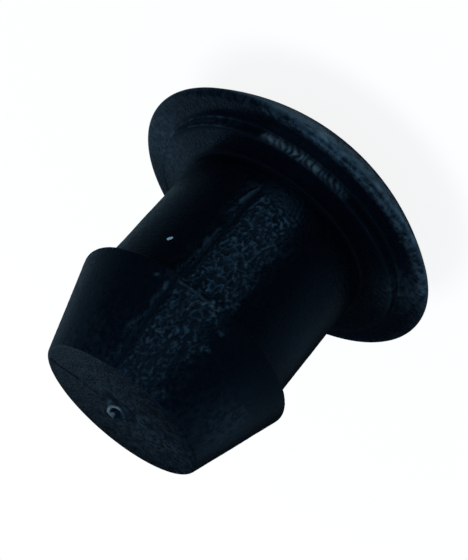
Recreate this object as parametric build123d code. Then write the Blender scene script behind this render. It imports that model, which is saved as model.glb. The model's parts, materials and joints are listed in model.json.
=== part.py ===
from build123d import *
import math
import os

# Snap-in hole plug, moulded in one piece. All sizes in millimetres.
# +Z runs along the plug's axis from the head to the nose, and z = 0 is the seat,
# the flat land under the head that lies on the panel. The plug stands on its head.

# The hole that the plug closes
hole_diameter = 10.0
panel_max = 6.75            # thickest panel, from the seat to the foot of the shoulder

# Neck, barb and nose
neck_play = 0.1             # hole diameter less neck diameter
barb_grip = 1.3             # barb diameter less hole diameter
nose_lead = 1.8             # hole diameter less nose diameter
shoulder_rise = 0.3         # height of the short slope from the neck out to the barb
barb_length = 4.45          # from the barb's widest ring to the nose face

# Head
head_diameter = 16.0
rim_thickness = 0.5         # the rim is a full round of this thickness
land_width = 1.65           # the seat's width outside the neck
land_height = 0.55          # how far the seat stands proud of the flange
head_depth = 4.5            # from the seat to the dome's top, before its flat is cut
crown_diameter = 3.0        # the small flat on top of the dome, which it stands on

# Moulded corners; the others are as sharp as the mould
neck_fillet = 0.25          # at the neck's root, on the seat
nose_chamfer = 0.1          # between the barb's taper and the nose face
land_chamfer = 0.1

# Gate: the short hollow stub left on the nose where the runner broke off
gate_diameter = 1.0
gate_bore = 0.64            # the crater's width at the stub's top
gate_bore_floor = 0.32      # and at its floor
gate_height = 0.36
gate_bore_depth = 0.42      # below the stub's top, so the crater sinks into the nose face
gate_root = 0.2             # how deep the stub is rooted in the nose, where nothing shows
gate_slope = 14.0           # degrees, tilt of the broken top
gate_low_side = 252.0       # degrees about +Z, where the broken top is lowest

# Worked out from the sizes above
neck_radius = (hole_diameter - neck_play) / 2
barb_radius = (hole_diameter + barb_grip) / 2
nose_radius = (hole_diameter - nose_lead) / 2
head_radius = head_diameter / 2
land_radius = neck_radius + land_width
barb_z = panel_max + shoulder_rise
nose_z = barb_z + barb_length
rim_round = rim_thickness / 2
rim_centre = (head_radius - rim_round, -land_height - rim_round)


def circle_point(centre, radius, degrees):
    turn = math.radians(degrees)
    return (centre[0] + radius * math.cos(turn), centre[1] + radius * math.sin(turn))


def arc_between(centre, radius, start, end):
    """Arc about a centre, from one angle to another, in degrees."""
    middle = (start + end) / 2
    return ThreePointArc(
        circle_point(centre, radius, start),
        circle_point(centre, radius, middle),
        circle_point(centre, radius, end),
    )


def dome_circle():
    """Radius and centre of the dome: on the axis, tangent to the crown plane and to the rim's round."""
    reach = rim_centre[0]
    depth = head_depth + rim_centre[1]
    radius = (reach**2 + depth**2 - rim_round**2) / (2 * (depth - rim_round))
    return radius, (0.0, radius - head_depth)


def crown_height():
    """Height of the crown flat, which trims a sliver off the dome."""
    radius, centre = dome_circle()
    return centre[1] - math.sqrt(radius**2 - (crown_diameter / 2) ** 2)


def head_outline():
    """Crown flat, dome and full-round rim, from the axis out to the flange's lower edge."""
    radius, centre = dome_circle()
    crown_edge = (crown_diameter / 2, crown_height())
    crown_angle = math.degrees(math.atan2(crown_edge[1] - centre[1], crown_edge[0]))
    rim_angle = math.degrees(math.atan2(rim_centre[1] - centre[1], rim_centre[0]))
    flat = Polyline((0, crown_edge[1]), crown_edge)
    dome = arc_between(centre, radius, crown_angle, rim_angle)
    rim = arc_between(rim_centre, rim_round, rim_angle, 90)
    return flat + dome + rim


def body_outline():
    """Flange, land, neck, shoulder, barb and nose, from the rim's lower edge to the axis."""
    return Polyline(
        (rim_centre[0], -land_height),
        (land_radius, -land_height),
        (land_radius, 0),
        (neck_radius, 0),
        (neck_radius, panel_max),
        (barb_radius, barb_z),
        (nose_radius, nose_z),
        (0, nose_z),
    )


def corner_at(section, radius, height):
    return section.vertices().sort_by_distance((radius, 0, height))[0]


def turned_body():
    """The half section, with its moulded corners worked, turned about the axis."""
    axis_line = Line((0, nose_z), (0, crown_height()))
    section = make_face(Plane.XZ * (head_outline() + body_outline() + axis_line))
    section = fillet(corner_at(section, neck_radius, 0), neck_fillet)
    section = chamfer(corner_at(section, nose_radius, nose_z), nose_chamfer)
    section = chamfer(corner_at(section, land_radius, 0), land_chamfer)
    return revolve(section, axis=Axis.Z)


def gate_stub():
    """The stub's tube and the crater inside it, both about the axis."""
    tube = Pos(0, 0, nose_z - gate_root) * Cylinder(
        gate_diameter / 2, gate_height + gate_root, align=(Align.CENTER, Align.CENTER, Align.MIN)
    )
    low = math.radians(gate_low_side)
    tilt = math.tan(math.radians(gate_slope))
    normal = (tilt * math.cos(low), tilt * math.sin(low), 1)
    broken = Plane(origin=(0, 0, nose_z + gate_height - gate_diameter / 2 * tilt), z_dir=normal)
    tube = split(tube, bisect_by=broken, keep=Keep.BOTTOM)
    crater = Pos(0, 0, nose_z + gate_height - gate_bore_depth) * Cone(
        gate_bore_floor / 2, gate_bore / 2, gate_bore_depth, align=(Align.CENTER, Align.CENTER, Align.MIN)
    )
    return tube, crater


def hole_plug():
    tube, crater = gate_stub()
    return turned_body() + tube - crater


os.makedirs("parts", exist_ok=True)
plug = hole_plug()
export_step(plug, "parts/hole_plug.step")
size = plug.bounding_box().size
print("size", round(size.X, 3), round(size.Y, 3), round(size.Z, 3))
print("volume", round(plug.volume, 1), "solids", len(plug.solids()), "valid", plug.is_valid)
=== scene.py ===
import json
import math
import bpy
import numpy as np
from mathutils import Matrix, Vector


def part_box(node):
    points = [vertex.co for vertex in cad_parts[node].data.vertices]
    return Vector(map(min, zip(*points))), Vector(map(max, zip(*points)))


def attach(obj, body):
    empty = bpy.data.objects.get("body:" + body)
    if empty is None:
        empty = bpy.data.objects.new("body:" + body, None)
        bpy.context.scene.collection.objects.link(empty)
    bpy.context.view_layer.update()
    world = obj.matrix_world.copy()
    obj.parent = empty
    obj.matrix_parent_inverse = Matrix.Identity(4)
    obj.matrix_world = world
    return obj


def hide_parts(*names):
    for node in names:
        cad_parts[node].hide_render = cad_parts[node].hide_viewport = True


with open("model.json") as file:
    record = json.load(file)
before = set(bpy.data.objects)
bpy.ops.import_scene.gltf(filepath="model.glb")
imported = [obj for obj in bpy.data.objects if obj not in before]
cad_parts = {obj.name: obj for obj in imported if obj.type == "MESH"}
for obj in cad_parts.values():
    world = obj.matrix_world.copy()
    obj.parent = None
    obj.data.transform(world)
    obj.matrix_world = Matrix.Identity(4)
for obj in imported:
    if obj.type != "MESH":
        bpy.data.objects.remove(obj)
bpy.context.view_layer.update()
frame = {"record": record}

mm = 0.001
cadLow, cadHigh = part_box("hole_plug")
neckMount = next(m for m in frame["record"]["mounts"] if m["name"] == "neck")


# Shader graph: sockets that take part in arithmetic

class Wire:
    # One socket of a node tree. An expression on wires adds the Math nodes that work it out.
    def __init__(self, graph, socket):
        self.graph = graph
        self.socket = socket

    def math(self, operation, first, second=None):
        inputs = {0: first} if second is None else {0: first, 1: second}
        return self.graph.add("ShaderNodeMath", {"operation": operation}, inputs)[0]

    def __add__(self, other): return self.math("ADD", self, other)
    def __radd__(self, other): return self.math("ADD", other, self)
    def __sub__(self, other): return self.math("SUBTRACT", self, other)
    def __rsub__(self, other): return self.math("SUBTRACT", other, self)
    def __mul__(self, other): return self.math("MULTIPLY", self, other)
    def __rmul__(self, other): return self.math("MULTIPLY", other, self)
    def __abs__(self): return self.math("ABSOLUTE", self)
    def __neg__(self): return self.math("MULTIPLY", self, -1.0)

    def least(self, other): return self.math("MINIMUM", self, other)

    def rise(self, start, end):
        # 0 up to start, 1 from end on, a smooth S between them
        spread = self.graph.add("ShaderNodeMapRange", {"interpolation_type": "SMOOTHSTEP"},
                                {"Value": self, "From Min": start, "From Max": end})
        return spread["Result"]

    def window(self, low, high, edge):
        # 1 between low and high, fading to 0 over one edge outside them
        return self.rise(low - edge, low) * (1.0 - self.rise(high, high + edge))


class Outputs:
    # The outputs of one node, by name or by place, as wires
    def __init__(self, graph, node):
        self.graph = graph
        self.node = node

    def __getitem__(self, name):
        return Wire(self.graph, self.node.outputs[name])


class Graph:
    def __init__(self, tree):
        self.tree = tree
        tree.nodes.clear()

    def add(self, kind, settings=None, inputs=None):
        node = self.tree.nodes.new(kind)
        for name, value in (settings or {}).items():
            setattr(node, name, value)
        for name, value in (inputs or {}).items():
            if isinstance(value, Wire):
                self.tree.links.new(value.socket, node.inputs[name])
            else:
                node.inputs[name].default_value = value
        return Outputs(self, node)

    def colours(self, factor, first, second):
        mixed = self.add("ShaderNodeMix", {"data_type": "RGBA"}, {0: factor, 6: first, 7: second})
        return mixed[2]

    def noise(self, place, scale, detail=2.0, roughness=0.5, distortion=0.0):
        made = self.add("ShaderNodeTexNoise", {}, {"Vector": place, "Scale": scale, "Detail": detail,
                                                   "Roughness": roughness, "Distortion": distortion})
        return made["Fac"]


def newMaterial(name):
    material = bpy.data.materials.new(name)
    material.use_nodes = True
    return material, Graph(material.node_tree)


# Noise over whole arrays, for the forms that are in the mesh

def latticeNoise(points, seed):
    # Gradient noise: each lattice corner has a seeded random direction, and its dot product with the
    # way from the corner to the point is blended over the cell by the quintic 6t^5 - 15t^4 + 10t^3.
    rng = np.random.default_rng(seed)
    shuffle = rng.permutation(256)
    directions = rng.normal(size=(256, 3))
    directions /= np.linalg.norm(directions, axis=1, keepdims=True)
    cell = np.floor(points).astype(int)
    local = points - cell
    fade = local ** 3 * (local * (local * 6 - 15) + 10)
    total = np.zeros(len(points))
    for corner in np.ndindex(2, 2, 2):
        x, y, z = ((cell + corner) & 255).T
        picked = directions[shuffle[(shuffle[(shuffle[x] + y) & 255] + z) & 255]]
        share = np.prod(np.where(corner, fade, 1 - fade), axis=1)
        total += share * np.sum(picked * (local - corner), axis=1)
    return total


def smoothStep(low, high, value):
    t = np.clip((value - low) / (high - low), 0, 1)
    return t * t * (3 - 2 * t)


def bellCurve(value, width):
    return np.exp(-(value / width) ** 2)


# The plug's skin: one profile turned about the axis, with the moulded detail raised along its normals

plugShape = {
    "headRadius": cadHigh[0],
    "crownHeight": cadLow[2],
    "crownFlat": 1.5 * mm,
    "crownRows": 4,
    "domeRows": 28,
    "headDepth": 4.5 * mm,
    "rimRound": 0.25 * mm,
    "rimRows": 11,
    "rimEase": 0.6 * mm,        # how far in from the rim the flange begins to sink
    "rimDrop": 0.015 * mm,      # and how low it is at the rim
    "landHeight": 0.55 * mm,
    "landWidth": 1.65 * mm,
    "landSlope": 0.03 * mm,     # how far the land's wall leans in and out of its radius
    "landEdge": 0.05 * mm,
    "landFoot": 0.06 * mm,
    "neckRadius": neckMount["dims"]["r_mm"] * mm,
    "neckLength": neckMount["dims"]["length_mm"] * mm,
    "neckFillet": 0.07 * mm,
    "shoulderRise": 0.3 * mm,
    "shoulderFoot": 0.08 * mm,
    "barbRadius": 5.65 * mm,
    "barbEdge": 0.09 * mm,
    "barbLength": 4.45 * mm,
    "noseRadius": 4.1 * mm,
    "noseEdge": 0.14 * mm,
    "gateRadius": 0.5 * mm,
    "gateRoot": 0.62 * mm,
    "gateHeight": 0.2 * mm,
    "gateLip": 0.05 * mm,
    "gateFoot": 0.08 * mm,
    "gateFloor": 0.14 * mm,
    "gateDepth": 0.42 * mm,
    # how far apart the rows stand on each run from the rim to the crater's pole, in mm
    "rowSteps": (0.11, 0.06, 0.13, 0.062, 0.1, 0.062, 0.1, 0.045, 0.1, 0.05, 0.05),
    "closeRows": (0.02 * mm, 0.4 * mm),     # below and above the shoulder's edge, where they are halved
    "columns": 280,
    "seamAngle": -90.0,         # degrees about +Z, where the two halves of the mould met
    # where the columns stand closer: angle, how many times more there are, and width in degrees
    "crowding": [(-101, 3.0, 18), (90, 1.0, 5), (0, 1.6, 9), (180, 1.6, 9)],
}


def arcPoints(centre, radius, start, end, count):
    turn = np.radians(np.linspace(start, end, count))
    return np.stack([centre[0] + radius * np.cos(turn), centre[1] + radius * np.sin(turn)], axis=1)


def roundedPath(corners, steps):
    # Corners are (radius, height, rounding). Each corner is cut back by rounding * tan(turn / 2) and
    # bridged by a tangent arc of 4 points when it is small, else of 6. The straight runs between are
    # divided evenly.
    places = np.array([corner[:2] for corner in corners])
    pieces = [places[:1]]
    for number in range(1, len(corners)):
        last, here = pieces[-1][-1], places[number]
        if number == len(corners) - 1:
            arc = here[None, :]
        else:
            arriving = (here - places[number - 1]) / np.linalg.norm(here - places[number - 1])
            leaving = (places[number + 1] - here) / np.linalg.norm(places[number + 1] - here)
            turning = np.arctan2(arriving[0] * leaving[1] - arriving[1] * leaving[0], arriving @ leaving)
            rounding = corners[number][2]
            back = rounding * math.tan(abs(turning) / 2)
            side = math.copysign(rounding, turning)
            centre = here - arriving * back + side * np.array([-arriving[1], arriving[0]])
            spread = np.linspace(0, turning, 4 if rounding < 0.1 * mm else 6)
            radial = (here - arriving * back) - centre
            arc = centre + np.stack([radial[0] * np.cos(spread) - radial[1] * np.sin(spread),
                                     radial[0] * np.sin(spread) + radial[1] * np.cos(spread)], axis=1)
        length = np.linalg.norm(arc[0] - last)
        count = max(1, int(round(length / steps[number - 1])))
        run = last + (arc[0] - last) * np.linspace(0, 1, count + 1)[1:-1, None]
        pieces += [run, arc]
    return np.concatenate([piece for piece in pieces if len(piece)])


def plugProfile(s):
    # Half section from the crown's pole to the pole at the crater's floor, as (radius, height) rows
    rimCentre = np.array([s["headRadius"] - s["rimRound"], -s["landHeight"] - s["rimRound"]])
    depth = s["headDepth"] + rimCentre[1]
    domeRadius = (rimCentre[0] ** 2 + depth ** 2 - s["rimRound"] ** 2) / (2 * (depth - s["rimRound"]))
    domeCentre = np.array([0.0, domeRadius - s["headDepth"]])
    crownTurn = math.degrees(math.atan2(s["crownHeight"] - domeCentre[1], s["crownFlat"]))
    rimTurn = math.degrees(math.atan2(*(rimCentre - domeCentre)[::-1]))
    crownRadii = np.linspace(0, s["crownFlat"], s["crownRows"] + 1)[:-1]
    crown = np.stack([crownRadii, np.full(s["crownRows"], s["crownHeight"])], axis=1)
    dome = arcPoints(domeCentre, domeRadius, crownTurn, rimTurn, s["domeRows"])
    rim = arcPoints(rimCentre, s["rimRound"], rimTurn, 90, s["rimRows"])[1:]
    barbTop = s["neckLength"] + s["shoulderRise"]
    noseTop = barbTop + s["barbLength"]
    landRadius = s["neckRadius"] + s["landWidth"]
    corners = [
        (rim[-1][0], rim[-1][1], 0),
        (landRadius + s["landSlope"], -s["landHeight"], s["landFoot"]),
        (landRadius - s["landSlope"], 0, s["landEdge"]),
        (s["neckRadius"], 0, s["neckFillet"]),
        (s["neckRadius"], s["neckLength"], s["shoulderFoot"]),
        (s["barbRadius"], barbTop, s["barbEdge"]),
        (s["noseRadius"], noseTop, s["noseEdge"]),
        (s["gateRoot"], noseTop, s["gateFoot"]),
        (s["gateRadius"], noseTop + s["gateHeight"], s["gateLip"]),
        (s["gateRadius"] - 2 * s["gateLip"], noseTop + s["gateHeight"], s["gateLip"]),
        (s["gateFloor"], noseTop - s["gateDepth"], s["gateLip"]),
        (0, noseTop - s["gateDepth"], 0),
    ]
    steps = [step * mm for step in s["rowSteps"]]
    profile = np.concatenate([crown, dome, rim, roundedPath(corners, steps)[1:]])
    # the flange sinks towards the rim by rimDrop times the square of the share of rimEase that is passed
    way = np.clip((profile[:, 0] - s["headRadius"] + s["rimEase"]) / s["rimEase"], 0, 1)
    flange = (profile[:, 1] > -s["landHeight"] - 0.4 * s["rimRound"]) & (profile[:, 0] > landRadius)
    profile[:, 1] -= np.where(flange, s["rimDrop"] * way ** 2, 0)
    # the rows beside the shoulder's edge stand twice as close
    below, above = s["closeRows"]
    close = (profile[:-1, 1] > barbTop - below) & (profile[:-1, 1] < barbTop + above)
    between = (profile[:-1] + profile[1:]) / 2
    return np.insert(profile, np.flatnonzero(close) + 1, between[close], axis=0), noseTop


def columnAngles(s):
    # Angles about the axis, crowded where detail is: the density is 1 plus a bell curve for each crowd,
    # and the columns stand at equal steps of its running sum, which is taken twenty times a degree.
    fine = np.linspace(0, 360, 20 * 360 + 1)
    density = np.ones_like(fine)
    for middle, extra, width in s["crowding"]:
        density += extra * bellCurve((fine - middle + 180) % 360 - 180, width)
    total = np.concatenate([[0], np.cumsum((density[1:] + density[:-1]) / 2)])
    return np.radians(np.interp(np.arange(s["columns"]) / s["columns"] * total[-1], total, fine))


def turnedGrid(profile, angles):
    # Row i, column j: the profile's point i at angle j. The normal is the profile's tangent turned
    # a quarter clockwise in the (radius, height) plane, so that it points out of the plastic.
    tangent = np.gradient(profile, axis=0)
    tangent /= np.maximum(np.linalg.norm(tangent, axis=1, keepdims=True), 1e-12)
    tangent[0] = (1, 0)
    tangent[-1] = (-1, 0)
    away = np.stack([tangent[:, 1], -tangent[:, 0]], axis=1)
    cosine, sine = np.cos(angles), np.sin(angles)
    points = np.stack([profile[:, :1] * cosine, profile[:, :1] * sine,
                       np.repeat(profile[:, 1:], len(angles), axis=1)], axis=2)
    normals = np.stack([away[:, :1] * cosine, away[:, :1] * sine,
                        np.repeat(away[:, 1:], len(angles), axis=1)], axis=2)
    return points, normals


def gridMesh(name, points):
    # The inner rows are rings of quads that close on themselves, and a fan of triangles closes each pole.
    rows, columns = points.shape[:2]
    ring = points[1:-1].reshape(-1, 3)
    vertices = np.concatenate([points[0, :1], ring, points[-1, :1]])
    column = np.arange(columns)
    beside = (column + 1) % columns
    base = 1 + columns * np.arange(rows - 3)[:, None]
    above = base + columns
    quads = np.stack([base + column, base + beside, above + beside, above + column], axis=2)
    last = 1 + columns * (rows - 3)
    top = len(vertices) - 1
    fans = np.concatenate([np.stack([np.zeros(columns, int), 1 + beside, 1 + column], axis=1),
                           np.stack([last + column, last + beside, np.full(columns, top)], axis=1)])
    mesh = bpy.data.meshes.new(name)
    faces = quads.reshape(-1, 4)
    mesh.vertices.add(len(vertices))
    mesh.vertices.foreach_set("co", vertices.ravel())
    mesh.loops.add(faces.size + fans.size)
    mesh.loops.foreach_set("vertex_index", np.concatenate([faces.ravel(), fans.ravel()]).astype(np.int32))
    mesh.polygons.add(len(faces) + len(fans))
    starts = np.concatenate([np.arange(len(faces)) * 4, faces.size + np.arange(len(fans)) * 3])
    mesh.polygons.foreach_set("loop_start", starts.astype(np.int32))
    mesh.update(calc_edges=True)
    mesh.validate()
    mesh.shade_smooth()
    return mesh


def gridAttribute(mesh, name, values):
    # One number a vertex, in the order that gridMesh puts the grid's points in
    packed = np.concatenate([values[0, :1], values[1:-1].ravel(), values[-1, :1]])
    layer = mesh.attributes.new(name, "FLOAT", "POINT")
    layer.data.foreach_set("value", packed.astype(np.float32))


def addPiece(name, mesh, material):
    piece = bpy.data.objects.new(name, mesh)
    bpy.context.scene.collection.objects.link(piece)
    mesh.materials.append(material)
    return piece


# the plug's moulded marks, with the painted sheen, painted glints and painted shade that go with them
plugMarksAndSheen = {
    # the leathery grain of the sides: worm-like ridges, low all round, tall in the band beside the seam
    "grainStart": (16, 34),             # rows past the land's edge where it begins and where it is full
    "grainEnd": 8,                      # rows before the nose face
    "grainPitch": 0.165 * mm,
    "grainWarp": 0.6,
    "sideHeight": 0.013 * mm,
    "wavePitch": 1.5 * mm,
    "waveHeight": 0.014 * mm,
    "bandHeight": 0.085 * mm,
    "bandAngles": (-114.5, -91.2),      # degrees about +Z
    "bandFades": (6, 3, 0.6, 0.2),      # degrees before and after the first angle, then the second
    "bandRagged": (0.6 * mm, 9, 12),    # its first edge wanders: pitch, degrees, more degrees on the barb
    "bandPatches": (0.9 * mm, 0.8, 0.7),    # its height comes and goes: pitch, mean and swing
    "bandFoot": (0.9 * mm, 1.7 * mm),
    "crestHaze": (0.62, 1.05),          # how strongly a highlight is painted on its ridges, on the barb and on the neck
    "pitDull": 0.6,
    # the seam: a groove, widest near the head, with a low torn burr on its +X side
    "seamPlace": 0.07 * mm,
    "seamWander": (1.3 * mm, 0.07 * mm),    # pitch and swing
    "seamWidth": (0.075 * mm, 0.05 * mm),   # near the head, and beyond
    "seamDepth": (0.085 * mm, 0.022 * mm),
    "seamSlope": 1.5 * mm,
    "seamWide": (2.8 * mm, 4.0 * mm),
    "seamFoot": (0.9 * mm, 1.3 * mm),
    "burrWidth": 0.17 * mm,
    "burrPlace": 0.42 * mm,
    "burrHeight": 0.04 * mm,
    "burrLong": (0.3, 0.3, 0.75),       # pitches in mm of its long tears, along x, y and z
    "burrShort": 0.19 * mm,             # and of its short ones
    # the burr's painted sheen
    "burrHaze": 0.24,
    # raised threads on the sides, (height, distance round from the seam) in mm, then height and width
    "threads": [
        ([(2.18, 0.50), (1.58, 0.39), (1.20, 0.23)], 0.06, 0.07),
        ([(7.99, -1.07), (7.71, -1.06), (7.53, -1.19), (7.47, -1.46), (7.27, -1.62), (7.17, -1.81)],
         0.075, 0.055),
        ([(4.42, -1.57), (3.95, -1.66), (3.55, -1.69), (3.25, -1.80), (2.92, -2.01), (3.13, -2.18)],
         0.04, 0.045),
        ([(3.75, -0.80), (4.31, -1.22), (4.69, -1.67)], 0.035, 0.045),
        ([(7.85, 0.27), (7.61, 0.35)], 0.05, 0.06),
        ([(7.55, 0.97), (7.50, 0.90)], 0.04, 0.06),
    ],
    # painted sheen and painted glint on the threads and on the shoulder's ridge
    "threadHaze": 0.5,
    "threadTorn": 0.06,
    # a line and a ridge along the shoulder's edge, in the band only: height, depth or rise, width in mm
    "lipLine": (7.19, 0.05, 0.05),
    "lipRidge": (7.30, 0.035, 0.06),
    "lipStart": (-2.05 * mm, -1.9 * mm),    # distances round from the seam
    "lipEnd": (-0.1 * mm, 0.05 * mm),
    # the line across the nose, (x, y) in mm, then depth and width, and the lit bumps beside it
    "noseLines": [
        ([(3.75, -0.42), (3.12, -0.39), (2.22, -0.41), (1.56, -0.22), (1.05, -0.25), (0.63, 0.03)],
         0.07, 0.055),
        ([(-0.58, 0.16), (-1.30, 0.22), (-1.49, 0.10)], 0.14, 0.085),
        ([(-1.49, -0.46), (-2.19, -0.57), (-2.94, -0.60), (-3.58, -0.58)], 0.13, 0.085),
    ],
    "noseBumps": [(-1.52, 0.0, 0.05, 0.10), (-2.19, -0.33, 0.045, 0.11), (1.30, -0.02, 0.02, 0.16)],
    "noseMottle": 0.012 * mm,
    "gatePit": (0.78, 0.15, 0.20),      # radius, depth and width in mm, on the near side
    "gatePitSide": 15,                  # degrees that its deepest place is turned from -Y towards -X
    "crackClean": 0.9,                  # how much of the painted sheen the lines and the pit lack, a painted shade in them
    # ribs on the wall of the land, below the band, with a painted sheen and a painted highlight that
    # runs into one pale streak at their +X end and fades towards -X
    "ribPitch": 0.30 * mm,
    "ribHeight": 0.035 * mm,
    "ribAngles": (-120.0, -81.0),
    "ribEdge": 3,
    "ribLevel": (0.27 * mm, 0.17 * mm),     # below the seat, and half width
    "ribShift": (0.42 * mm, 0.34 * mm, 0.3),    # pitch and swing of their wander, and their lean
    "ribHaze": 0.8,
    "ribTorn": 0.42,
    "ribFade": (-119, -96),
    "ribStreak": (-95, -88),
    # patches of painted sheen: (x, y, z) and reach in mm, then how much
    "haze": [
        ((6.7, -1.4, -0.3), 2.2, 0.62), ((1.9, -2.2, 11.5), 2.4, 0.17), ((-3.0, 0.9, 11.5), 1.8, 0.05),
        ((4.3, -2.2, 9.2), 1.6, 0.17), ((3.9, -3.0, 4.0), 1.5, 0.12), ((-4.6, -1.2, 9.8), 1.3, 0.34),
        ((-4.8, -1.0, 4.6), 1.3, 0.20), ((-1.0, 0.5, 11.5), 3.0, 0.36), ((-7.0, -0.9, -0.5), 1.5, 0.34),
    ],
    # the head's painted sheen: its edge and its dome's outer part get the most painted highlight between
    # these angles
    "rubbedStart": (-180, -165),
    "rubbedEnd": (-100, -70),
    "flangeRadii": (7.45 * mm, 7.9 * mm),
    "flangeFoot": -1.7 * mm,
    "flangeHaze": (0.12, 0.5),          # everywhere, and where it is rubbed
    "domeTop": (-0.7 * mm, -0.9 * mm),      # heights where its haze begins and is full
    "domeFoot": (-2.6 * mm, -1.4 * mm),
    "domeHaze": (0.55, 0.45),
    "domeTorn": (0.4 * mm, 0.5, 1.25),  # pitch, mean and swing of the painted highlight's pale flecks
    "landHaze": 0.35,
    "landHazeAngles": (-78, -50, -5, 10),
    "edgeDull": 0.16 * mm,              # reach of the dull strips on the land's edges and the neck's foot
    # the torn gate: (angle, rise in mm, width in degrees), then the part of its lip that gets a painted
    # highlight
    "gateTears": [(60, 0.10, 50), (5, 0.09, 28), (-90, -0.08, 45), (150, -0.03, 40), (205, 0.05, 25)],
    "gateTorn": (-108.0, 58.0),
    "gateTornEdge": 12,
    "lipRadii": (0.30 * mm, 0.36 * mm),
    "lipLevels": (0.11 * mm, 0.19 * mm),    # above the nose face
    "flap": (42, 20, 0.13 * mm),        # the lip's torn flap: angle, width in degrees, reach downwards
    "craterRadius": 0.38 * mm,
    "craterTop": 0.1 * mm,
}


def lineDistance(first, second, corners):
    # Distance from each point to a bent line: the least over its runs of the distance to the nearest
    # point of the run, which lies at the share of the run that the point projects to, held in 0 to 1.
    places = np.array(corners) * mm
    nearest = np.full(len(first), np.inf)
    for start, end in zip(places[:-1], places[1:]):
        run = end - start
        share = np.clip(((first - start[0]) * run[0] + (second - start[1]) * run[1]) / (run @ run), 0, 1)
        awayFirst = first - start[0] - share * run[0]
        awaySecond = second - start[1] - share * run[1]
        nearest = np.minimum(nearest, np.hypot(awayFirst, awaySecond))
    return nearest


def curledGrain(flat, pitch, warp, seed):
    # Worm-like grain: a noise whose points are moved by another, so that its bumps bend into each other
    bend = np.stack([latticeNoise(flat / pitch / 1.6, seed + turn) for turn in range(3)], axis=1)
    return latticeNoise(flat / pitch + 2 * warp * bend, seed + 3)


class SkinGrid:
    # The turned profile as flat arrays with one value a vertex. The marks of the mould add to lift, which
    # is the way out along the normal; they and the painted sheen, glints and shade add to the shares that
    # the material reads.
    def __init__(self, s):
        profile, self.noseTop = plugProfile(s)
        angles = columnAngles(s)
        points, normals = turnedGrid(profile, angles)
        rows, columns = self.shape = points.shape[:2]
        self.flat = points.reshape(-1, 3)
        self.normals = normals.reshape(-1, 3)
        self.radius = np.repeat(profile[:, 0], columns)
        self.height = np.repeat(profile[:, 1], columns)
        self.row = np.repeat(np.arange(rows), columns)
        self.degrees = np.tile((np.degrees(angles) + 180) % 360 - 180, rows)
        self.around = self.arcFrom(s["seamAngle"])
        self.landRow = np.argmax(profile[:, 1] > -1e-9)
        self.noseRow = np.argmax(profile[:, 1] > self.noseTop - 1e-9)
        self.gateRow = self.noseRow + np.argmax(profile[self.noseRow:, 0] < s["gateRoot"] + s["gateFoot"])
        self.lift, self.haze, self.torn, self.matt, self.cracks = np.zeros((5, rows * columns))

    def arcFrom(self, place):
        # signed distance along the ring from an angle, which grows with the angle
        return np.radians((self.degrees - place + 180) % 360 - 180) * self.radius

    def between(self, angles, edge):
        # 1 between two angles and 0 beyond them, over a soft edge about each
        low, high = angles
        run = smoothStep(low - edge, low + edge, self.degrees)
        return run * (1 - smoothStep(high - edge, high + edge, self.degrees))

    def noise(self, pitch, seed):
        return latticeNoise(self.flat / pitch, seed)

    def dull(self, share):
        self.matt = np.maximum(self.matt, share)


def grainSides(skin, s, marksAndSheen):
    # Lift = curled noise times its height, which the band raises, plus a slow wave. The ridges get a
    # painted highlight and the pits between them are dull.
    start, full = marksAndSheen["grainStart"]
    skin.side = smoothStep(skin.landRow + start, skin.landRow + full, skin.row)
    skin.side *= 1 - smoothStep(skin.noseRow - marksAndSheen["grainEnd"], skin.noseRow, skin.row)
    low, high = marksAndSheen["bandAngles"]
    beforeLow, afterLow, beforeHigh, afterHigh = marksAndSheen["bandFades"]
    pitch, swing, more = marksAndSheen["bandRagged"]
    ragged = skin.degrees + (swing + more * (skin.height > s["neckLength"])) * skin.noise(pitch, 72)
    skin.band = skin.side * smoothStep(low - beforeLow, low + afterLow, ragged)
    skin.band *= 1 - smoothStep(high - beforeHigh, high + afterHigh, skin.degrees)
    skin.band *= smoothStep(*marksAndSheen["bandFoot"], skin.height)
    pitch, mean, swing = marksAndSheen["bandPatches"]
    skin.band *= mean + swing * skin.noise(pitch, 71)
    grain = curledGrain(skin.flat, marksAndSheen["grainPitch"], marksAndSheen["grainWarp"], 3)
    low, high = marksAndSheen["sideHeight"], marksAndSheen["bandHeight"]
    skin.lift += grain * (skin.side * low + skin.band * (high - low))
    skin.lift += skin.side * marksAndSheen["waveHeight"] * skin.noise(marksAndSheen["wavePitch"], 11)
    onBarb, onNeck = marksAndSheen["crestHaze"]
    paleness = np.where(skin.height < s["neckLength"], onNeck, onBarb)
    skin.haze += paleness * skin.band * smoothStep(0.02, 0.24, grain)
    skin.dull(marksAndSheen["pitDull"] * skin.band * (1 - smoothStep(-0.2, 0.1, grain)))


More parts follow.
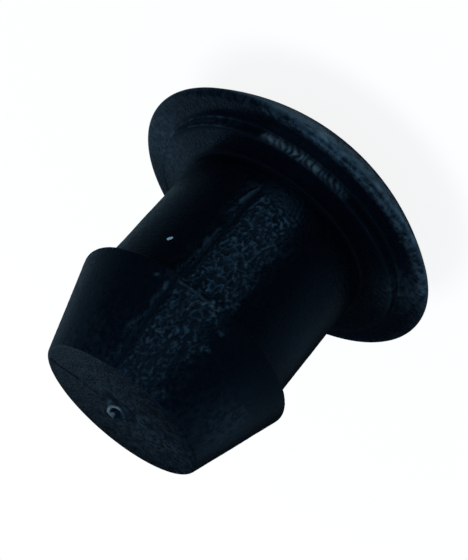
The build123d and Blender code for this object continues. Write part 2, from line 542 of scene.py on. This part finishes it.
def cutSeams(skin, s, marksAndSheen):
    # Two seams, half a turn apart. Lift = a torn bell curve for the burr, less a step down across the
    # seam that climbs back along its slope. The burr gets a painted sheen.
    pitch, swing = marksAndSheen["seamWander"]
    level = skin.height / pitch
    wander = latticeNoise(np.stack([level, 0 * level, 0 * level], axis=1), 21) * swing
    wide = 1 - smoothStep(*marksAndSheen["seamWide"], skin.height)
    run = skin.side * smoothStep(*marksAndSheen["seamFoot"], skin.height)
    nearWidth, farWidth = marksAndSheen["seamWidth"]
    nearDepth, farDepth = marksAndSheen["seamDepth"]
    width = farWidth + wide * (nearWidth - farWidth)
    depth = farDepth + wide * (nearDepth - farDepth)
    burrs = np.zeros(len(skin.flat))
    for turn in (0, 180):
        offset = skin.arcFrom(s["seamAngle"] + turn) - marksAndSheen["seamPlace"] + wander
        tears = 0.25 + 1.7 * skin.noise(np.array(marksAndSheen["burrLong"]) * mm, 31 + turn)
        tears = np.clip(tears + 1.1 * skin.noise(marksAndSheen["burrShort"], 32 + turn), 0, 1)
        burr = run * bellCurve(offset - marksAndSheen["burrPlace"], marksAndSheen["burrWidth"]) * tears
        groove = run * smoothStep(-width, width, offset)
        groove *= 1 - smoothStep(width, marksAndSheen["seamSlope"], offset)
        skin.lift += marksAndSheen["burrHeight"] * burr - depth * groove
        skin.dull(run * bellCurve(offset - 0.4 * width, 1.6 * width) * (0.4 + 0.6 * wide))
        burrs = np.maximum(burrs, burr)
    skin.haze += marksAndSheen["burrHaze"] * burrs


def raiseThreads(skin, marksAndSheen):
    # Lift = a bell curve of the distance to each thread's bent line, and to the shoulder's edge. The
    # threads and the shoulder's ridge get a painted sheen and a painted glint.
    pale = np.zeros(len(skin.flat))
    for corners, rise, width in marksAndSheen["threads"]:
        thread = bellCurve(lineDistance(skin.height, skin.around, corners), width * mm) * skin.side
        skin.lift += rise * mm * thread
        pale = np.maximum(pale, thread)
    run = smoothStep(*marksAndSheen["lipStart"], skin.around) * (1 - smoothStep(*marksAndSheen["lipEnd"], skin.around))
    run *= skin.side
    place, depth, width = marksAndSheen["lipLine"]
    skin.lift -= run * depth * mm * bellCurve(skin.height - place * mm, width * mm)
    skin.dull(run * bellCurve(skin.height - place * mm, 1.3 * width * mm))
    place, rise, width = marksAndSheen["lipRidge"]
    ridge = run * bellCurve(skin.height - place * mm, width * mm)
    skin.lift += rise * mm * ridge
    pale = np.maximum(pale, 0.6 * ridge)
    skin.haze += marksAndSheen["threadHaze"] * pale
    skin.torn += marksAndSheen["threadTorn"] * pale


def markNose(skin, marksAndSheen):
    # Lift = minus a bell curve of the distance to each line, minus the pit beside the gate, plus bumps
    nose = smoothStep(skin.noseRow - 1, skin.noseRow + 2, skin.row)
    nose *= 1 - smoothStep(skin.gateRow - 3, skin.gateRow, skin.row)
    x, y = skin.flat[:, 0], skin.flat[:, 1]
    uneven = 0.8 + 0.9 * skin.noise(0.35 * mm, 41)
    for corners, depth, width in marksAndSheen["noseLines"]:
        line = nose * bellCurve(lineDistance(x, y, corners), width * mm)
        skin.lift -= line * depth * mm * uneven
        skin.cracks = np.maximum(skin.cracks, line)
    place, depth, width = marksAndSheen["gatePit"]
    nearSide = 0.5 - 0.5 * np.sin(np.radians(skin.degrees + marksAndSheen["gatePitSide"]))
    pit = nearSide * (skin.noseRow < skin.row) * (skin.row < skin.gateRow)
    pit *= bellCurve(skin.radius - place * mm, width * mm)
    skin.lift -= depth * mm * nearSide * pit
    skin.cracks = np.maximum(skin.cracks, pit)
    skin.dull(skin.cracks)
    for bumpX, bumpY, rise, width in marksAndSheen["noseBumps"]:
        away = np.hypot(x - bumpX * mm, y - bumpY * mm)
        skin.lift += nose * rise * mm * bellCurve(away, width * mm)
    skin.lift += nose * marksAndSheen["noseMottle"] * (skin.noise(0.5 * mm, 51) + 0.6 * skin.noise(0.22 * mm, 52))


def ribLand(skin, s, marksAndSheen):
    # Lift = a cosine of the distance round, bent by noise, inside a bell curve of the height. The ribs
    # get a painted sheen, and a painted highlight that gathers into a streak.
    level, width = marksAndSheen["ribLevel"]
    outside = skin.radius > s["neckRadius"] + s["landWidth"] - 1.5 * s["landSlope"]
    outside &= skin.height > -s["landHeight"]
    wall = skin.between(marksAndSheen["ribAngles"], marksAndSheen["ribEdge"]) * bellCurve(skin.height + level, width)
    wall *= outside
    pitch, swing, lean = marksAndSheen["ribShift"]
    shift = lean * skin.height + swing * skin.noise(pitch, 64)
    ribs = np.cos(2 * math.pi * (skin.around + shift) / marksAndSheen["ribPitch"])
    skin.lift += wall * marksAndSheen["ribHeight"] * ribs
    skin.haze += marksAndSheen["ribHaze"] * wall * (0.65 + 0.35 * ribs)
    pale = np.clip(0.8 + 1.6 * skin.noise(0.7 * mm, 62), 0.2, 1.5)
    pale *= 0.35 + 0.85 * smoothStep(*marksAndSheen["ribFade"], skin.degrees)
    streak = 0.45 * smoothStep(*marksAndSheen["ribStreak"], skin.degrees) * (0.6 + 1.5 * skin.noise(0.25 * mm, 65))
    skin.torn += marksAndSheen["ribTorn"] * wall * np.maximum(smoothStep(-0.9, 0.7, ribs), streak) * pale


def paintHeadSheen(skin, s, marksAndSheen):
    # Painted sheen = shares by radius, height and angle: the flange's edge and the outer dome, and the
    # land's wall on its +X side. Flecks of painted highlight lie on the dome, and the land's edges are
    # dull.
    sheenArc = smoothStep(*marksAndSheen["rubbedStart"], skin.degrees)
    sheenArc *= 1 - smoothStep(*marksAndSheen["rubbedEnd"], skin.degrees)
    flange = smoothStep(*marksAndSheen["flangeRadii"], skin.radius) * (skin.height > marksAndSheen["flangeFoot"])
    dome = smoothStep(*marksAndSheen["domeTop"], skin.height) * smoothStep(*marksAndSheen["domeFoot"], skin.height)
    for area, (everywhere, more) in ((flange, marksAndSheen["flangeHaze"]), (dome, marksAndSheen["domeHaze"])):
        skin.haze += area * (everywhere + more * sheenArc)
    pitch, mean, swing = marksAndSheen["domeTorn"]
    skin.torn += dome * sheenArc * np.clip(mean + swing * skin.noise(pitch, 63), 0, 1)
    fadeIn, full, still, fadeOut = marksAndSheen["landHazeAngles"]
    wall = (skin.height > -s["landHeight"]) & (skin.height < 0)
    wall &= skin.radius > s["neckRadius"] + 0.8 * s["landWidth"]
    side = smoothStep(fadeIn, full, skin.degrees) * (1 - smoothStep(still, fadeOut, skin.degrees))
    skin.haze += marksAndSheen["landHaze"] * wall * side
    landRadius = s["neckRadius"] + s["landWidth"]
    for radius, height in ((landRadius, 0), (landRadius, -s["landHeight"]), (s["neckRadius"], 0)):
        skin.dull(bellCurve(np.hypot(skin.radius - radius, skin.height - height), marksAndSheen["edgeDull"]))


def tearGate(skin, points, marksAndSheen):
    # The stub's top is moved up or down by bell curves of the angle. Its lip gets a painted highlight on
    # one side, down to the flap's foot, and the crater inside it is dull.
    stub = smoothStep(skin.gateRow, skin.gateRow + 4, skin.row)
    stub *= smoothStep(0.1 * mm, 0.3 * mm, skin.radius)
    for place, rise, width in marksAndSheen["gateTears"]:
        points[:, 2] += stub * rise * mm * bellCurve((skin.degrees - place + 180) % 360 - 180, width)
    place, width, reach = marksAndSheen["flap"]
    foot = skin.noseTop - reach * bellCurve(skin.degrees - place, width)
    low, high = marksAndSheen["lipLevels"]
    lip = smoothStep(*marksAndSheen["lipRadii"], skin.radius) * (skin.gateRow <= skin.row)
    lip *= smoothStep(foot + low, foot + high, skin.height)
    lip *= 0.75 + 0.7 * skin.noise(0.22 * mm, 61)
    skin.torn += lip * skin.between(marksAndSheen["gateTorn"], marksAndSheen["gateTornEdge"])
    inside = (skin.row > skin.gateRow) & (skin.radius < marksAndSheen["craterRadius"])
    skin.dull(inside & (skin.height < skin.noseTop + marksAndSheen["craterTop"]))


def plugSkinPoints(s, marksAndSheen):
    skin = SkinGrid(s)
    grainSides(skin, s, marksAndSheen)
    cutSeams(skin, s, marksAndSheen)
    raiseThreads(skin, marksAndSheen)
    markNose(skin, marksAndSheen)
    ribLand(skin, s, marksAndSheen)
    paintHeadSheen(skin, s, marksAndSheen)
    # patches of painted sheen
    for spot, reach, amount in marksAndSheen["haze"]:
        away = np.linalg.norm(skin.flat - np.array(spot) * mm, axis=1)
        skin.haze += amount * bellCurve(away, reach * mm)
    # the nose's lines and the gate's pit lose most of the painted sheen, a painted shade in them
    skin.haze *= 1 - marksAndSheen["crackClean"] * skin.cracks
    points = skin.flat + skin.normals * skin.lift[:, None]
    tearGate(skin, points, marksAndSheen)
    shares = {"side": skin.side, "band": skin.band, "haze": skin.haze, "torn": skin.torn,
              "matt": skin.matt}
    shares = {name: np.clip(share, 0, 1).reshape(skin.shape) for name, share in shares.items()}
    return points.reshape(*skin.shape, 3), shares


plugFinish = {
    "black": (0.0006, 0.0014, 0.0036, 1),
    # the colour of the painted sheen
    "scuffed": (0.026, 0.048, 0.067, 1),
    "dust": (0.32, 0.36, 0.40, 1),
    # the colour of the painted glints
    "torn": (0.08, 0.105, 0.12, 1),
    "tint": (0.44, 0.72, 1.0, 1),
    # noises over the plug's own coordinates in metres: scale, detail, roughness and distortion
    "broad": (1500.0, 3.0, 0.6),
    "speckle": (4200.0, 2.0, 0.6),
    "curl": (5200.0, 1.0, 0.5, 1.4),
    "fine": (9000.0, 2.0),
    "roughness": 0.22,
    "endGloss": 0.06,           # how much glossier the head and the nose are than the sides
    "mattRough": 0.6,
    "mottleRough": 0.21,
    "dustRough": 0.3,
    "bumpHeight": 0.010 * mm,
    "curlBump": (1.4, 1.6),     # everywhere, and what the band adds
    "fineBump": 0.8,
    "dustBump": 3.0,
    # specks of dust: (x, y, z) and radius in mm, then how ragged they are and how soft their edge is
    "specks": [((1.90, -4.57, 5.43), 0.08), ((1.83, -4.60, 5.36), 0.085), ((-4.75, -4.59, -0.02), 0.045),
               ((-6.1, -4.3, -0.5), 0.04)],
    "speckRagged": 0.16 * mm,
    "speckEdge": (0.8, 1.15),   # in radii
}


def plugMaterial(s):
    material, g = newMaterial("blackMouldedPlastic")
    place = g.add("ShaderNodeTexCoord")["Object"]
    band, side, haze, torn, matt = (g.add("ShaderNodeAttribute", {"attribute_name": name})["Fac"]
                                    for name in ("band", "side", "haze", "torn", "matt"))
    broad, speckle, curl, fine = (g.noise(place, *s[name])
                                  for name in ("broad", "speckle", "curl", "fine"))

    dust = 0.0
    inner, outer = s["speckEdge"]
    for spot, reach in s["specks"]:
        middle = tuple(value * mm for value in spot)
        away = g.add("ShaderNodeVectorMath", {"operation": "DISTANCE"}, {0: place, 1: middle})["Value"]
        away = away + (fine - 0.5) * s["speckRagged"]
        dust = dust + (1.0 - away.rise(inner * reach * mm, outer * reach * mm))
    dust = dust.least(1.0)
    mottle = (0.55 + 0.45 * broad.rise(0.36, 0.64)) * (0.15 + 0.85 * speckle.rise(0.34, 0.66))
    everywhere, inBand = s["curlBump"]
    height = curl * (everywhere + inBand * band) + fine * s["fineBump"] + dust * s["dustBump"]
    bump = g.add("ShaderNodeBump", {}, {"Strength": 1.0, "Distance": s["bumpHeight"], "Height": height})
    roughness = s["roughness"] - s["endGloss"] * (1.0 - side) + s["mattRough"] * matt
    roughness = roughness + s["mottleRough"] * mottle + s["dustRough"] * dust
    # the painted sheen, by its share and the mottle
    colour = g.colours(haze * mottle, s["black"], s["scuffed"])
    # the painted glints
    colour = g.colours(torn, colour, s["torn"])
    colour = g.colours(dust, colour, s["dust"])
    surface = g.add("ShaderNodeBsdfPrincipled", {}, {
        "Base Color": colour,
        "Roughness": roughness,
        "Normal": bump["Normal"],
        "Specular IOR Level": 0.5,
        "Specular Tint": s["tint"],
    })
    g.add("ShaderNodeOutputMaterial", {}, {"Surface": surface["BSDF"]})
    return material


plugPoints, plugShares = plugSkinPoints(plugShape, plugMarksAndSheen)
plugSkin = addPiece("plugSkin", gridMesh("plugSkin", plugPoints), plugMaterial(plugFinish))
for shareName, share in plugShares.items():
    gridAttribute(plugSkin.data, shareName, share)
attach(plugSkin, "root")
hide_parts("hole_plug")
print("plug skin", sum(len(face.vertices) - 2 for face in plugSkin.data.polygons), "triangles")


# Floor, world and lamp: a white floor that shows the plug's shadow, a dim studio around it with one
# soft box in front and a paler wall behind on the left, and a lamp overhead. The camera sees the studio
# as white.

studioLook = {
    "floorSize": 0.8,
    "floorShade": 0.85,
    "floorGlow": 0.89,
    "floorFade": (0.02, 0.06),      # from the plug on, where the floor runs out into pure white
    "tint": (0.48, 0.77, 1.0),
    "dim": 0.012,
    # azimuths, where 0 is -Y, and elevations in degrees. With three numbers the last is the soft edge.
    "frontAzimuth": (-21.0, 11.0, 4.0),
    "frontElevation": (-44.0, 34.0, 8.0),
    "frontBlend": (-20.0, 10.0),        # where its lower glow turns into its upper one
    "frontGlow": (0.55, 0.36),
    "leftAzimuth": (120.0, 156.0, 6.0),
    "leftFoot": (-42.0, -30.0),
    "leftBlend": (17.0, 27.0),          # where it turns from the low share of its glow to the whole
    "leftLow": 0.13,
    "leftTop": (25.9, 30.9),
    "leftGlow": 0.46,
    "sideNear": (60.0, 100.0),          # azimuths to either side
    "sideFar": (150.0, 160.0),
    "sideTop": (12.0, 26.0),
    "sideGlow": 0.085,
    "overheadFoot": (62.0, 80.0),
    "overheadGlow": 0.5,
    "underneathTop": (48.0, 62.0),      # below the horizon
    "underneathGlow": 0.07,
    "fill": 0.8,                        # what diffuse rays get from every direction besides
    "lampFrom": (0.10, -0.07, 1.0),     # the direction that the overhead light comes from
    "lampSpread": 32.0,
    "lampPower": 1.9,
}


def addFloor(s):
    material, g = newMaterial("paleFloor")
    pale = g.add("ShaderNodeBsdfDiffuse", {}, {"Color": (s["floorShade"],) * 3 + (1,)})
    white = g.add("ShaderNodeEmission", {}, {"Color": (1, 1, 1, 1), "Strength": 1.0})
    place = g.add("ShaderNodeTexCoord")["Object"]
    away = g.add("ShaderNodeVectorMath", {"operation": "LENGTH"}, {0: place})["Value"]
    share = s["floorGlow"] + away.rise(*s["floorFade"]) * (1 - s["floorGlow"])
    both = g.add("ShaderNodeMixShader", {}, {0: share, 1: pale["BSDF"], 2: white["Emission"]})
    g.add("ShaderNodeOutputMaterial", {}, {"Surface": both["Shader"]})
    half, level = s["floorSize"] / 2, cadLow[2]
    mesh = bpy.data.meshes.new("floor")
    corners = [(x * half, y * half, level) for x, y in ((-1, -1), (1, -1), (1, 1), (-1, 1))]
    mesh.from_pydata(corners, [], [(0, 1, 2, 3)])
    floor = addPiece("floor", mesh, material)
    floor.visible_glossy = False
    floor.visible_diffuse = False
    floor.visible_shadow = False


def paintWorld(s):
    world = bpy.data.worlds.new("studio")
    bpy.context.scene.world = world
    world.use_nodes = True
    g = Graph(world.node_tree)
    direction = g.add("ShaderNodeSeparateXYZ", {}, {0: g.add("ShaderNodeTexCoord")["Generated"]})
    x, y, z = direction["X"], direction["Y"], direction["Z"]
    degree = 180 / math.pi
    azimuth = g.add("ShaderNodeMath", {"operation": "ARCTAN2"}, {0: x, 1: -y})[0] * degree
    elevation = g.add("ShaderNodeMath", {"operation": "ARCSINE"}, {0: z})[0] * degree
    low, high = s["frontGlow"]
    front = azimuth.window(*s["frontAzimuth"]) * elevation.window(*s["frontElevation"])
    front = front * (low + elevation.rise(*s["frontBlend"]) * (high - low))
    left = azimuth.window(*s["leftAzimuth"]) * elevation.rise(*s["leftFoot"])
    left = left * (s["leftLow"] + (1.0 - s["leftLow"]) * elevation.rise(*s["leftBlend"]))
    left = left * (1.0 - elevation.rise(*s["leftTop"]))
    side = abs(azimuth).rise(*s["sideNear"]) * (1.0 - abs(azimuth).rise(*s["sideFar"]))
    side = side * (1.0 - elevation.rise(*s["sideTop"]))
    glow = s["dim"] + front + left * s["leftGlow"] + side * s["sideGlow"]
    glow = glow + elevation.rise(*s["overheadFoot"]) * s["overheadGlow"]
    glow = glow + (-elevation).rise(*s["underneathTop"]) * s["underneathGlow"]
    path = g.add("ShaderNodeLightPath")
    glow = glow + path["Is Diffuse Ray"] * s["fill"]
    around = g.add("ShaderNodeBackground", {}, {"Color": s["tint"] + (1,), "Strength": glow})
    white = g.add("ShaderNodeBackground", {}, {"Color": (1, 1, 1, 1), "Strength": 1.0})
    both = g.add("ShaderNodeMixShader", {}, {0: path["Is Camera Ray"], 1: around["Background"],
                                             2: white["Background"]})
    g.add("ShaderNodeOutputWorld", {}, {"Surface": both["Shader"]})


def addLamp(s):
    data = bpy.data.lights.new("overheadLamp", "SUN")
    data.angle = math.radians(s["lampSpread"])
    data.energy = s["lampPower"]
    lamp = bpy.data.objects.new("overheadLamp", data)
    lamp.rotation_euler = Vector(s["lampFrom"]).to_track_quat("Z", "Y").to_euler()
    lamp.visible_glossy = False
    bpy.context.scene.collection.objects.link(lamp)


addFloor(studioLook)
paintWorld(studioLook)
addLamp(studioLook)
print("stage and light")


# Camera: close over the plug's front, turned on its own axis so that the nose points down and left

cameraView = {
    "azimuth": -18.15,          # degrees, 0 looks along +Y
    "elevation": 27.99,
    "distance": 60.08 * mm,
    "roll": 139.52,             # degrees, clockwise in the picture
    "aimPixel": (272.2, 233.6),     # where the seat's centre lies in the picture
    "pictureSize": (468, 560),
    "lens": 81.54,
    "sensor": 36.0,
}


def addCamera(view):
    # Axes to the right, down and forward for a camera that looks at the origin, then the roll about
    # the forward axis, then the small turn that takes the origin from the picture's middle to its pixel.
    azimuth, elevation, roll = np.radians([view["azimuth"], view["elevation"], view["roll"]])
    toEye = np.array([math.sin(azimuth) * math.cos(elevation), -math.cos(azimuth) * math.cos(elevation),
                      math.sin(elevation)])
    right = np.cross(-toEye, (0, 0, 1))
    right /= np.linalg.norm(right)
    down = np.cross(-toEye, right)
    axes = np.array([right * math.cos(roll) + down * math.sin(roll),
                     down * math.cos(roll) - right * math.sin(roll), -toEye])
    focal = view["lens"] / view["sensor"] * max(view["pictureSize"])
    pixel = np.array(view["aimPixel"]) - np.array(view["pictureSize"]) / 2
    ray = np.array([*pixel, focal]) / math.hypot(*pixel, focal)
    axis = np.cross((0, 0, 1), ray)
    skew = np.array([[0, -axis[2], axis[1]], [axis[2], 0, -axis[0]], [-axis[1], axis[0], 0]])
    turn = np.eye(3) + skew + skew @ skew / (1 + ray[2])
    axes = turn @ axes
    data = bpy.data.cameras.new("camera")
    data.lens = view["lens"]
    data.sensor_width = view["sensor"]
    data.clip_start = 1 * mm
    camera = bpy.data.objects.new("camera", data)
    matrix = np.eye(4)
    matrix[:3, :3] = np.stack([axes[0], -axes[1], -axes[2]], axis=1)
    matrix[:3, 3] = toEye * view["distance"]
    camera.matrix_world = Matrix(matrix.tolist())
    bpy.context.scene.collection.objects.link(camera)
    bpy.context.scene.camera = camera


addCamera(cameraView)
bpy.context.scene.view_settings.view_transform = "Standard"
